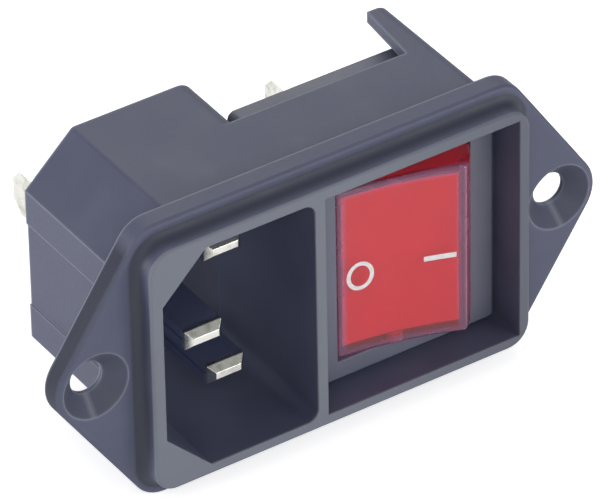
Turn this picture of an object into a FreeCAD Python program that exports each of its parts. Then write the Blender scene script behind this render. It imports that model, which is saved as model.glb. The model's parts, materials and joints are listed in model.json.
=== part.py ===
import FreeCAD, Part
import math
import os
import Sketcher

# Power entry module: a mains inlet with three blades and a lit double-pole rocker switch,
# side by side in one black moulded housing that is screwed to a panel by two ears.
# Frame: millimetres, +X along the flange from the inlet to the switch, +Z up, and the
# front looks towards -Y. The origin is midway between the two screw holes, on the
# flange's rear face, which lies against the panel.

SIZES = [
    # name, millimetres or degrees, what it is
    ("hole_margin", 4.75, "a screw hole's centre, beyond the rim's end"),
    ("screw_hole", 3.4, "diameter of a screw hole"),
    ("screw_sink", 6.9, "diameter of a hole's countersink at the front"),
    ("ear_radius", 4.1, "rounded tip of an ear, about its screw hole"),
    ("flange_inset", 0.45, "end of the flange's straight top edge, inside the rim's end"),
    ("flange_margin", 1.7, "flange, above and below the rim"),
    ("flange_thick", 2.2, "flange, front to rear"),
    ("flange_corner", 3.2, "rounding of the flange's four blunt corners"),
    ("flange_edge", 0.45, "rounding of the flange's front edge"),
    ("rim_left_wall", 1.25, "rim, left of the plug cavity"),
    ("rim_right_wall", 1.15, "rim, right of the switch recess"),
    ("rim_wall", 1.15, "rim, above and below the cavity and the recess"),
    ("rim_rise", 2.1, "how far the rim stands in front of the flange"),
    ("rim_corner", 2.4, "rounding of the rim's corners"),
    ("rim_cove", 1.2, "hollow rounding between the rim and the flange"),
    ("rim_edge", 0.2, "broken edge round the rim's front"),
    ("inlet_width", 16.5, "plug cavity, left to right"),
    ("inlet_height", 24.5, "plug cavity and switch recess, top to bottom"),
    ("inlet_chamfer", 4.75, "cut corner of the plug cavity"),
    ("inlet_corner", 1.2, "rounding of the plug cavity's square corners"),
    ("inlet_depth", 16.8, "plug cavity, from the rim's front to its floor"),
    ("inlet_base", 1.5, "floor of the plug cavity"),
    ("shell_wall", 1.15, "wall left of the plug cavity"),
    ("shell_divider", 0.8, "wall between the plug cavity and the switch pocket"),
    ("body_wall", 1.05, "body behind the flange, above and below the cavity"),
    ("shell_chamfer_wide", 5.3, "cut corner of the shell, left to right"),
    ("shell_chamfer_high", 5.0, "cut corner of the shell, top to bottom"),
    ("shell_round", 1.8, "rounding of the shell's right edges"),
    ("shell_soft", 0.7, "rounding of the shell's cut corners"),
    ("band_height", 9.2, "sunk band on the shell's left face"),
    ("band_depth", 0.15, "depth of that band"),
    ("plate_wall", 1.3, "shell wall round the rear plate"),
    ("plate_thick", 2.0, "rear plate"),
    ("pin_span", 14.0, "distance between the line and neutral blades"),
    ("pin_shift", 1.75, "line and neutral blades, right of the inlet's centre"),
    ("earth_shift", 2.05, "earth blade, left of the inlet's centre"),
    ("pin_wide", 4.0, "blade, left to right"),
    ("pin_thick", 2.0, "blade, top to bottom"),
    ("pin_setback", 5.0, "line and neutral tips, behind the rim's front"),
    ("earth_setback", 2.6, "earth tip, behind the rim's front"),
    ("pin_bevel", 0.65, "bevel round a blade's tip"),
    ("pin_seam", 0.14, "open seam along each side of the folded blade"),
    ("seam_depth", 0.3, "depth of that seam"),
    ("fold_length", 0.9, "closed fold at a blade's tip, in front of its seams"),
    ("collar_wide", 5.6, "blade's shoulder, left to right"),
    ("collar_high", 3.4, "blade's shoulder, top to bottom"),
    ("collar_thick", 1.2, "blade's shoulder, front to rear"),
    ("tab_wide", 4.8, "push-on tab, width"),
    ("tab_thick", 0.8, "push-on tab, thickness"),
    ("tab_bevel", 1.2, "cut corners of a tab's end"),
    ("tab_hole", 1.4, "detent hole in a tab"),
    ("tab_hole_setback", 2.9, "detent hole, from the tab's end"),
    ("pin_tab_reach", 6.2, "line and neutral tabs, behind the shell"),
    ("earth_tab_reach", 11.1, "earth tab, behind the shell"),
    ("earth_tab_shift", 1.65, "earth tab, left of its blade's centre"),
    ("recess_divider", 1.1, "wall between the inlet and the switch recess at the front"),
    ("seat_thick", 1.6, "cross wall that the switch snaps into"),
    ("pocket_wall", 1.2, "top and bottom walls behind the cross wall"),
    ("pocket_reach", 9.55, "top and bottom walls, behind the panel face"),
    ("end_wall_thick", 1.13, "right wall"),
    ("end_wall_step", 4.35, "right wall, behind the end of the top and bottom walls"),
    ("prong_root", 3.3, "width of a prong where it leaves the wall"),
    ("prong_tip", 2.5, "width of a prong at its tip"),
    ("body_round", 1.5, "rounding of the body's right edges"),
    ("bezel_side_gap", 0.35, "clearance of the bezel in the recess, left and right"),
    ("bezel_end_gap", 0.25, "clearance of the bezel in the recess, above and below"),
    ("bezel_side_lip", 0.78, "bezel, beyond the switch body, left and right"),
    ("bezel_end_lip", 1.0, "bezel, beyond the switch body, above and below"),
    ("bezel_thick", 0.95, "switch bezel, in front of its seat"),
    ("bezel_bevel", 0.5, "bevel round the bezel's front"),
    ("bezel_corner", 0.8, "rounding of the bezel's corners"),
    ("case_side_wall", 1.5, "switch body's wall beside the rocker's round ends"),
    ("case_end_wall", 1.36, "switch body's wall above and below the rocker"),
    ("pole_wall", 0.8, "wall between the switch's two poles"),
    ("switch_round", 0.8, "rounded edges of the switch body"),
    ("switch_floor", 2.15, "floor of the switch body"),
    ("snap_height", 0.5, "snap wedge, above the switch body"),
    ("snap_length", 1.8, "snap wedge, front to rear"),
    ("snap_width", 5.0, "snap wedge, left to right"),
    ("fit_gap", 0.1, "clearance of a piece in its seat"),
    ("rocker_tilt", 14.0, "rocker's tilt from the middle to either stop"),
    ("rocker_radius", 7.98, "rocker's round ends, about its pivot"),
    ("rocker_gap", 0.14, "clearance round the rocker"),
    ("face_rise", 4.9, "face's ends, in front of the pivot"),
    ("face_hollow", 0.5, "hollow of the face at its middle"),
    ("pivot_reach", 2.25, "pivot, behind the bezel's seat"),
    ("pivot_pin", 2.6, "diameter of the rocker's pivot pins"),
    ("pivot_gap", 0.05, "running clearance of a pivot pin"),
    ("pivot_length", 0.95, "pivot pin, beyond the rocker's side"),
    ("lens_wall", 1.05, "wall of the red lens"),
    ("lens_skirt", 0.8, "lens's lower edge, in front of the pivot"),
    ("lens_round", 0.5, "rounding of the lens's edges"),
    ("carrier_gap", 0.06, "clearance of the carrier in the lens"),
    ("carrier_wall", 1.1, "wall and roof of the carrier"),
    ("carrier_depth", 1.3, "carrier's lower edge, behind the pivot"),
    ("pole_span", 9.6, "distance between the switch's two poles"),
    ("barrel_width", 3.6, "outside diameter of a plunger barrel"),
    ("barrel_bore", 2.3, "bore of a plunger barrel"),
    ("barrel_reach", 3.6, "barrel's mouth, behind the pivot"),
    ("bore_top", 0.4, "blind end of the bore, in front of the pivot"),
    ("plunger_reach", 6.2, "plunger's tip, behind the pivot"),
    ("plunger_gap", 0.05, "running clearance of a plunger"),
    ("plunger_length", 3.6, "plunger, head to tip"),
    ("spring_wire", 0.28, "wire of a plunger spring"),
    ("spring_turns", 3.5, "turns of a plunger spring"),
    ("blade_gap", 0.05, "least gap between a plunger and its blade"),
    ("blade_thick", 0.6, "contact blade"),
    ("blade_width", 3.6, "contact blade, along the pivot"),
    ("blade_end_gap", 1.12, "contact blade's end, from the wall of its room"),
    ("blade_corner", 0.6, "rounding of a contact blade's corners"),
    ("cradle_half", 2.0, "half the length of the blade's hollow middle"),
    ("blade_tilt", 9.0, "contact blade's tilt to either stop"),
    ("contact_inset", 1.0, "contacts, from the blade's end"),
    ("contact_width", 2.4, "diameter of a contact"),
    ("moving_thick", 0.5, "moving contact"),
    ("moving_bevel", 0.16, "bevel round the moving contact's face"),
    ("fixed_thick", 0.3, "fixed contact"),
    ("fixed_bevel", 0.1, "bevel round the fixed contact's face"),
    ("contact_clear", 0.05, "gap left at a closed contact or stop"),
    ("ridge_half", 0.7, "half the width of the ridge that a blade rocks on"),
    ("ridge_round", 0.6, "rounding of that ridge"),
    ("ridge_gap", 0.06, "clearance between a blade and its ridge"),
    ("terminal_inset", 0.72, "closed-side terminals, from the wall of their room"),
    ("terminal_reach", 7.85, "switch tabs, behind the switch body"),
    ("foot_thick", 0.8, "bent foot of a terminal"),
    ("ridge_foot", 3.0, "centre terminal's foot, left to right"),
    ("contact_foot", 3.0, "closed-side terminal's foot, left to right"),
    ("bulb_width", 3.0, "diameter of the neon bulb"),
    ("bulb_length", 6.0, "neon bulb, with its two nipples"),
    ("bulb_shoulder", 0.6, "bevel at either end of the bulb's glass"),
    ("nipple_width", 1.0, "diameter of a nipple of the bulb"),
    ("nipple_length", 0.75, "nipple of the bulb"),
    ("bulb_rise", 0.55, "neon bulb, in front of the pivot"),
    ("resistor_width", 1.8, "diameter of the series resistor"),
    ("resistor_length", 4.6, "series resistor"),
    ("resistor_rod", 1.5, "diameter of the resistor between its end caps"),
    ("cap_length", 0.9, "end cap of the resistor"),
    ("cap_bevel", 0.3, "bevel of an end cap"),
    ("resistor_drop", 2.3, "series resistor, behind the pivot"),
    ("lead_wire", 0.45, "lamp leads"),
    ("lead_reach", 3.35, "lamp leads, from the middle to their bends"),
]

doc = FreeCAD.newDocument("PowerEntryModule")
sheet = doc.addObject("Spreadsheet::Sheet", "Dimensions")


class Size:
    """A size worked out from the sheet: its number now, and the expression that gives it."""

    def __init__(self, value, text):
        self.value = value
        self.text = text

    def __add__(self, other):
        other = as_size(other)
        return Size(self.value + other.value, "(%s + %s)" % (self.text, other.text))

    def __sub__(self, other):
        other = as_size(other)
        return Size(self.value - other.value, "(%s - %s)" % (self.text, other.text))

    def __mul__(self, other):
        other = as_size(other)
        return Size(self.value * other.value, "(%s * %s)" % (self.text, other.text))

    def __truediv__(self, other):
        other = as_size(other)
        return Size(self.value / other.value, "(%s / %s)" % (self.text, other.text))

    def __neg__(self):
        return Size(-self.value, "(0 - %s)" % self.text)


def as_size(number):
    if isinstance(number, Size):
        return number
    return Size(float(number), repr(float(number)))


def root(size):
    return Size(math.sqrt(size.value), "sqrt(%s)" % size.text)


def sine(size):
    return Size(math.sin(math.radians(size.value)), "sin(%s * 1 deg)" % size.text)


def cosine(size):
    return Size(math.cos(math.radians(size.value)), "cos(%s * 1 deg)" % size.text)


def fill_sheet():
    cells = {}
    for row, (name, number, note) in enumerate(SIZES, start=1):
        sheet.set("A%d" % row, name)
        sheet.set("B%d" % row, str(number))
        sheet.set("C%d" % row, note)
        sheet.setAlias("B%d" % row, name)
        cells[name] = Size(number, "Dimensions." + name)
    doc.recompute()
    return cells


class Cells(dict):
    """The sheet's sizes, read by name."""

    def __getattr__(self, name):
        return self[name]


d = Cells(fill_sheet())


def new_body(name, x=0.0, y=0.0, z=0.0):
    """An empty body whose origin stands at the given place."""
    body = doc.addObject("PartDesign::Body", name)
    body.Label = name
    for axis, size in zip("xyz", (x, y, z)):
        if isinstance(size, Size):
            body.setExpression("Placement.Base." + axis, size.text)
    return body


def tilt_body(body, angle, axis):
    """Turns a body about its own origin by the sheet's angle."""
    base = body.Placement.Base
    body.Placement = FreeCAD.Placement(base, FreeCAD.Rotation(axis, angle.value))
    body.setExpression("Placement.Rotation.Angle", angle.text + " * 1 deg")


def new_sketch(body, name, plane, level):
    """A sketch on one of the body's own planes, moved along that plane's normal."""
    sketch = body.newObject("Sketcher::SketchObject", name)
    for feature in body.Origin.OriginFeatures:
        if feature.Role == plane:
            sketch.AttachmentSupport = [(feature, "")]
    sketch.MapMode = "FlatFace"
    level = as_size(level)
    sketch.AttachmentOffset = FreeCAD.Placement(FreeCAD.Vector(0, 0, level.value), FreeCAD.Rotation())
    sketch.setExpression("AttachmentOffset.Base.z", level.text)
    return sketch


def pin_point(sketch, geometry, corner, across, up, label):
    """Fixes one point of a sketch by its distances from the sketch's origin."""
    for kind, axis, size in (("DistanceX", -2, as_size(across)), ("DistanceY", -1, as_size(up))):
        if abs(size.value) < 1e-9:
            sketch.addConstraint(Sketcher.Constraint("PointOnObject", geometry, corner, axis))
            continue
        index = sketch.addConstraint(Sketcher.Constraint(kind, -1, 1, geometry, corner, size.value))
        name = "%s%s" % (kind[-1].lower(), label)
        sketch.renameConstraint(index, name)
        sketch.setExpression("Constraints." + name, size.text)


def draw_outline(sketch, points):
    """A closed outline of straight lines through the given points."""
    vectors = [FreeCAD.Vector(as_size(a).value, as_size(b).value, 0) for a, b in points]
    count = len(points)
    for i in range(count):
        sketch.addGeometry(Part.LineSegment(vectors[i], vectors[(i + 1) % count]), False)
    for i in range(count):
        sketch.addConstraint(Sketcher.Constraint("Coincident", i, 2, (i + 1) % count, 1))
    for i in range(count):
        pin_point(sketch, i, 1, points[i][0], points[i][1], str(i))


def draw_circle(sketch, across, up, diameter):
    centre = FreeCAD.Vector(as_size(across).value, as_size(up).value, 0)
    radius = diameter / 2
    index = sketch.addGeometry(Part.Circle(centre, FreeCAD.Vector(0, 0, 1), radius.value), False)
    pin_point(sketch, index, 3, across, up, str(index))
    constraint = sketch.addConstraint(Sketcher.Constraint("Radius", index, radius.value))
    name = "radius%d" % index
    sketch.renameConstraint(constraint, name)
    sketch.setExpression("Constraints." + name, radius.text)


def rectangle(left, right, low, high):
    return [(left, low), (right, low), (right, high), (left, high)]


def add(body, name, sketch, length, reverse):
    pad = body.newObject("PartDesign::Pad", name)
    pad.Profile = sketch
    pad.Length = length.value
    pad.setExpression("Length", length.text)
    pad.Reversed = reverse
    doc.recompute()
    return pad


def cut(body, name, sketch, length, reverse):
    before = body.Tip.Shape.Volume
    pocket = body.newObject("PartDesign::Pocket", name)
    pocket.Profile = sketch
    pocket.Length = length.value
    pocket.setExpression("Length", length.text)
    pocket.Reversed = reverse
    doc.recompute()
    if pocket.Shape.Volume > before - 1e-6:
        raise RuntimeError(name + " cuts nothing")
    return pocket


def deep(body, name, points, near, far, remove=False):
    """Adds or removes an outline in X and Z, drawn at the depth near and carried to far."""
    near, far = as_size(near), as_size(far)
    sketch = new_sketch(body, name + "_sketch", "XZ_Plane", -near)
    draw_outline(sketch, points)
    if remove:
        return cut(body, name, sketch, far - near, False)
    return add(body, name, sketch, far - near, True)


def deep_round(body, name, across, up, diameter, near, far, remove=False):
    """The same for a round outline."""
    near, far = as_size(near), as_size(far)
    sketch = new_sketch(body, name + "_sketch", "XZ_Plane", -near)
    draw_circle(sketch, across, up, diameter)
    if remove:
        return cut(body, name, sketch, far - near, False)
    return add(body, name, sketch, far - near, True)


def tall(body, name, points, low, high, remove=False):
    """Adds or removes an outline in X and Y, drawn at the height low and carried to high."""
    low, high = as_size(low), as_size(high)
    sketch = new_sketch(body, name + "_sketch", "XY_Plane", low)
    draw_outline(sketch, points)
    if remove:
        return cut(body, name, sketch, high - low, True)
    return add(body, name, sketch, high - low, False)


def tall_round(body, name, across, up, diameter, low, high, remove=False):
    """The same for a round outline."""
    low, high = as_size(low), as_size(high)
    sketch = new_sketch(body, name + "_sketch", "XY_Plane", low)
    draw_circle(sketch, across, up, diameter)
    if remove:
        return cut(body, name, sketch, high - low, True)
    return add(body, name, sketch, high - low, False)


def edges_at(feature, x=None, y=None, z=None, along=None):
    """Names of the edges that lie at the given places and, if asked, run along one axis."""
    names = []
    wanted = [(i, as_size(v).value) for i, v in enumerate((x, y, z)) if v is not None]
    for number, edge in enumerate(feature.Shape.Edges, start=1):
        ends = [vertex.Point for vertex in edge.Vertexes] + [edge.CenterOfMass]
        if any(abs(point[i] - value) > 1e-3 for point in ends for i, value in wanted):
            continue
        if along is not None:
            run = edge.Vertexes[-1].Point - edge.Vertexes[0].Point
            if run.Length < 1e-6 or abs(run["xyz".index(along)]) < 0.999 * run.Length:
                continue
        names.append("Edge%d" % number)
    return names


def dress(body, kind, name, base, names, size):
    """A fillet or a chamfer on named edges of a feature."""
    if not names:
        raise RuntimeError(name + " found no edge")
    feature = body.newObject("PartDesign::" + kind, name)
    feature.Base = (base, names)
    quantity = "Radius" if kind == "Fillet" else "Size"
    setattr(feature, quantity, size.value)
    feature.setExpression(quantity, size.text)
    doc.recompute()
    return feature


def fillet(body, name, names, size):
    return dress(body, "Fillet", name, body.Tip, names, size)


def chamfer(body, name, names, size):
    return dress(body, "Chamfer", name, body.Tip, names, size)


# Lengths and heights that follow from the sheet: each piece is as large as what it holds.
room_half = d.rocker_radius + d.rocker_gap
switch_half = room_half + d.case_side_wall
bezel_half = switch_half + d.bezel_side_lip
recess_width = (bezel_half + d.bezel_side_gap) * 2
inlet_half = d.inlet_height / 2
bezel_top = inlet_half - d.bezel_end_gap
switch_top = bezel_top - d.bezel_end_lip
rocker_room = switch_top - d.case_end_wall
rocker_half = rocker_room - d.rocker_gap
rim_top = inlet_half + d.rim_wall
body_top = inlet_half + d.body_wall
flange_half = rim_top + d.flange_margin
pocket_half = body_top - d.pocket_wall
rim_half = (d.rim_left_wall + d.inlet_width + d.recess_divider + recess_width + d.rim_right_wall) / 2
hole_x = rim_half + d.hole_margin
flat = rim_half - d.flange_inset

# Places from left to right, from the origin midway between the screw holes.
inlet_left = d.rim_left_wall - rim_half
inlet_x = inlet_left + d.inlet_width / 2
inlet_right = inlet_left + d.inlet_width
shell_left = inlet_left - d.shell_wall
shell_right = inlet_right + d.shell_divider
recess_left = inlet_right + d.recess_divider
recess_right = recess_left + recess_width
switch_x = recess_left + recess_width / 2
opening_left = switch_x - switch_half - d.fit_gap
opening_right = switch_x + switch_half + d.fit_gap
body_right = opening_right + d.end_wall_thick
pole_z = d.pole_span / 2

# Places from front to rear, from the flange's rear face.
flange_front = -d.flange_thick
rim_front = flange_front - d.rim_rise
inlet_floor = rim_front + d.inlet_depth
shoulder_seat = inlet_floor + d.inlet_base
plate_seat = shoulder_seat + d.collar_thick
shell_reach = plate_seat + d.plate_thick
end_wall_reach = d.pocket_reach + d.end_wall_step
pivot_y = d.pivot_reach

# The contact blade's reach along its room, its levels in its middle position, and what lies
# behind it when it is tilted.
blade_arm = room_half - d.blade_end_gap
contact_arm = blade_arm - d.contact_inset
terminal_span = room_half - d.terminal_inset
cup_radius = d.plunger_reach + d.blade_gap
arm_front = pivot_y + root(cup_radius * cup_radius - d.cradle_half * d.cradle_half)
fulcrum_y = pivot_y + cup_radius + d.blade_thick
arm_depth = arm_front + d.blade_thick - fulcrum_y
moving_face = arm_depth + d.moving_thick
fixed_y = (fulcrum_y + contact_arm * sine(d.blade_tilt) + moving_face * cosine(d.blade_tilt)
           + d.contact_width / 2 * sine(d.blade_tilt) + d.contact_clear)
foot_front = fixed_y + d.fixed_thick
floor_front = foot_front + d.foot_thick
switch_reach = floor_front + d.switch_floor
stop_left = switch_x + contact_arm - d.contact_width / 2
stop_right = switch_x + blade_arm
stop_y = (fulcrum_y + blade_arm * sine(d.blade_tilt) + arm_depth * cosine(d.blade_tilt)
          + d.contact_clear)


def ear_vertex():
    """Where the ear's two straight edges would meet, so that they just touch its round tip."""
    side = hole_x - flat
    reach = root(side * side + flange_half * flange_half)
    lean = Size(math.degrees(math.atan2(flange_half.value, -side.value)),
                "atan2(%s; %s) / 1 deg" % (flange_half.text, (-side).text))
    turn = Size(math.degrees(math.acos(d.ear_radius.value / reach.value)),
                "acos(%s) / 1 deg" % (d.ear_radius / reach).text)
    return hole_x + d.ear_radius / cosine(lean - turn)


def cut_corner_outline(left, right, half, wide, high):
    """The inlet's outline: a rectangle with its two left corners cut off."""
    return [
        (left, -(half - high)), (left + wide, -half), (right, -half),
        (right, half), (left + wide, half), (left, half - high),
    ]


def make_housing():
    """One black moulding: flange with two ears, rim, inlet shell and switch pocket."""
    body = new_body("housing")
    vertex = ear_vertex()
    flange = deep(body, "flange", [
        (-vertex, 0), (-flat, -flange_half), (flat, -flange_half),
        (vertex, 0), (flat, flange_half), (-flat, flange_half),
    ], flange_front, 0)
    tips = edges_at(flange, x=vertex, along="y") + edges_at(flange, x=-vertex, along="y")
    fillet(body, "ear_tips", tips, d.ear_radius)
    blunt = []
    for side in (flat, -flat):
        for level in (flange_half, -flange_half):
            blunt += edges_at(body.Tip, x=side, z=level, along="y")
    fillet(body, "flange_corners", blunt, d.flange_corner)

    deep(body, "rim", rectangle(-rim_half, rim_half, -rim_top, rim_top), rim_front, flange_front)
    corners = edges_at(body.Tip, x=rim_half, along="y") + edges_at(body.Tip, x=-rim_half, along="y")
    fillet(body, "rim_corners", corners, d.rim_corner)
    foot = [name for name in edges_at(body.Tip, y=flange_front) if within_rim(body.Tip, name)]
    fillet(body, "rim_cove", foot, d.rim_cove)
    brow = [name for name in edges_at(body.Tip, y=flange_front) if not within_rim(body.Tip, name)]
    fillet(body, "flange_edge", brow, d.flange_edge)
    chamfer(body, "rim_edge", edges_at(body.Tip, y=rim_front), d.rim_edge)

    shell = cut_corner_outline(shell_left, shell_right, body_top,
                               d.shell_chamfer_wide, d.shell_chamfer_high)
    deep(body, "inlet_shell", shell, 0, shell_reach)
    soft = []
    for level in (body_top, -body_top):
        soft += edges_at(body.Tip, x=shell_left + d.shell_chamfer_wide, z=level, along="y")
    fillet(body, "shell_soft_edges", soft, d.shell_soft)
    right = []
    for level in (body_top, -body_top):
        right += edges_at(body.Tip, x=shell_right, z=level, along="y")
    fillet(body, "shell_round_edges", right, d.shell_round)
    band = d.band_height / 2
    deep(body, "sunk_band", rectangle(shell_left - d.band_depth, shell_left + d.band_depth, -band, band),
         0, shell_reach, remove=True)

    inside = shell_right - d.shell_round - d.fit_gap
    deep(body, "pocket_block", rectangle(inside, body_right, -body_top, body_top), 0, d.pocket_reach)
    deep(body, "end_wall", rectangle(opening_right, body_right, -body_top, body_top),
         d.pocket_reach, end_wall_reach)
    for side, low, high in (("upper", pocket_half, body_top), ("lower", -body_top, -pocket_half)):
        tall(body, side + "_prong", [
            (body_right - d.prong_root, d.pocket_reach), (body_right, d.pocket_reach),
            (body_right, shell_reach), (body_right - d.prong_tip, shell_reach),
        ], low, high)
    outer = []
    for level in (body_top, -body_top):
        outer += edges_at(body.Tip, x=body_right, z=level, along="y")
    fillet(body, "body_round_edges", outer, d.body_round)

    deep(body, "recess", rectangle(recess_left, recess_right, -inlet_half, inlet_half),
         rim_front, 0, remove=True)
    opening = switch_top + d.fit_gap
    deep(body, "switch_opening", rectangle(opening_left, opening_right, -opening, opening),
         0, d.seat_thick, remove=True)
    deep(body, "pocket", rectangle(shell_right, opening_right, -pocket_half, pocket_half),
         d.seat_thick, end_wall_reach, remove=True)

    cavity = cut_corner_outline(inlet_left, inlet_right, inlet_half, d.inlet_chamfer, d.inlet_chamfer)
    deep(body, "plug_cavity", cavity, rim_front, inlet_floor, remove=True)
    square = []
    for level in (inlet_half, -inlet_half):
        square += edges_at(body.Tip, x=inlet_right, z=level, along="y")
    fillet(body, "plug_cavity_corners", square, d.inlet_corner)

    plate = cut_corner_outline(shell_left + d.plate_wall, shell_right - d.plate_wall,
                               body_top - d.plate_wall, d.shell_chamfer_wide, d.shell_chamfer_high)
    deep(body, "plate_seat", plate, plate_seat, shell_reach, remove=True)
    for name, x, z in blade_places():
        wide = d.collar_wide / 2 + d.fit_gap / 2
        high = d.collar_high / 2 + d.fit_gap / 2
        deep(body, name + "_shoulder_seat", rectangle(x - wide, x + wide, z - high, z + high),
             shoulder_seat, plate_seat, remove=True)
        wide = d.pin_wide / 2 + d.fit_gap / 2
        high = d.pin_thick / 2 + d.fit_gap / 2
        deep(body, name + "_slot", rectangle(x - wide, x + wide, z - high, z + high),
             inlet_floor, shoulder_seat, remove=True)

    for side, x in (("left", -hole_x), ("right", hole_x)):
        deep_round(body, side + "_screw_hole", x, 0, d.screw_hole, flange_front, 0, remove=True)
        front = edges_at_circle(body.Tip, x, flange_front, d.screw_hole)
        chamfer(body, side + "_countersink", front, (d.screw_sink - d.screw_hole) / 2)
    return body


def within_rim(feature, name):
    """True for an edge at the foot of the rim, false for one on the flange's outline."""
    edge = feature.Shape.getElement(name)
    spot = edge.CenterOfMass
    return abs(spot.x) < rim_half.value + 1e-3 and abs(spot.z) < rim_top.value + 1e-3


def edges_at_circle(feature, x, y, diameter):
    """The round edge of the given diameter about a place on a face."""
    names = []
    for number, edge in enumerate(feature.Shape.Edges, start=1):
        if edge.Curve.TypeId != "Part::GeomCircle":
            continue
        centre = edge.Curve.Center
        near = abs(centre.x - x.value) < 1e-3 and abs(centre.y - y.value) < 1e-3
        if near and abs(edge.Curve.Radius - diameter.value / 2) < 1e-3:
            names.append("Edge%d" % number)
    return names


def blade_places():
    """Name, X and Z of the three contact blades."""
    return (
        ("line", inlet_x + d.pin_shift, d.pin_span / 2),
        ("neutral", inlet_x + d.pin_shift, -(d.pin_span / 2)),
        ("earth", inlet_x - d.earth_shift, Size(0.0, "0")),
    )


def make_rear_plate():
    """Black plate pressed into the back of the shell, which holds the blades' shoulders."""
    body = new_body("rear_plate")
    wall = d.plate_wall + d.fit_gap
    outline = cut_corner_outline(shell_left + wall, shell_right - wall, body_top - wall,
                                 d.shell_chamfer_wide, d.shell_chamfer_high)
    deep(body, "plate", outline, plate_seat, shell_reach - d.fit_gap)
    for name, x, z in blade_places():
        wide = d.tab_wide / 2 + d.fit_gap / 2
        thin = d.tab_thick / 2 + d.fit_gap / 2
        if name == "earth":
            middle = x - d.earth_tab_shift
            slot = rectangle(middle - thin, middle + thin, -wide, wide)
        else:
            slot = rectangle(x - wide, x + wide, z - thin, z + thin)
        deep(body, name + "_tab_slot", slot, plate_seat, shell_reach, remove=True)
    return body


def tab_outline(middle, start, end):
    """A push-on tab seen flat, with its two end corners cut off."""
    half = d.tab_wide / 2
    return [
        (middle - half, start), (middle + half, start), (middle + half, end - d.tab_bevel),
        (middle + half - d.tab_bevel, end), (middle - half + d.tab_bevel, end),
        (middle - half, end - d.tab_bevel),
    ]


def make_blade(name, x, z):
    """A blade folded from nickel-plated brass strip, with its shoulder and its tab."""
    body = new_body(name + "_pin")
    earth = name == "earth"
    tip = rim_front + (d.earth_setback if earth else d.pin_setback)
    wide, thin = d.pin_wide / 2, d.pin_thick / 2
    deep(body, name + "_blade", rectangle(x - wide, x + wide, z - thin, z + thin), tip, shoulder_seat)
    chamfer(body, name + "_tip_bevel", edges_at(body.Tip, y=tip), d.pin_bevel)
    seam = d.pin_seam / 2
    deep(body, name + "_right_seam", rectangle(x + wide - d.seam_depth, x + wide, z - seam, z + seam),
         tip + d.fold_length, shoulder_seat, remove=True)
    deep(body, name + "_left_seam", rectangle(x - wide, x - wide + d.seam_depth, z - seam, z + seam),
         tip + d.fold_length, shoulder_seat, remove=True)
    wide, high = d.collar_wide / 2, d.collar_high / 2
    deep(body, name + "_shoulder", rectangle(x - wide, x + wide, z - high, z + high),
         shoulder_seat, plate_seat)
    half = d.tab_thick / 2
    if earth:
        middle = x - d.earth_tab_shift
        end = shell_reach + d.earth_tab_reach
        side_tab(body, name, middle, Size(0.0, "0"), plate_seat, end)
    else:
        end = shell_reach + d.pin_tab_reach
        tall(body, name + "_tab", tab_outline(x, plate_seat, end), z - half, z + half)
        tall_round(body, name + "_tab_hole", x, end - d.tab_hole_setback, d.tab_hole,
                   z - half, z + half, remove=True)
    return body


def side_tab(body, name, x, z, start, end):
    """Adds a tab that stands on edge, its flat sides facing left and right."""
    half = d.tab_thick / 2
    outline = [(across, up) for up, across in tab_outline(z, start, end)]
    sketch = new_sketch(body, name + "_tab_sketch", "YZ_Plane", x - half)
    draw_outline(sketch, outline)
    add(body, name + "_tab", sketch, d.tab_thick, False)
    sketch = new_sketch(body, name + "_tab_hole_sketch", "YZ_Plane", x - half)
    draw_circle(sketch, end - d.tab_hole_setback, z, d.tab_hole)
    cut(body, name + "_tab_hole", sketch, d.tab_thick, True)


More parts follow.
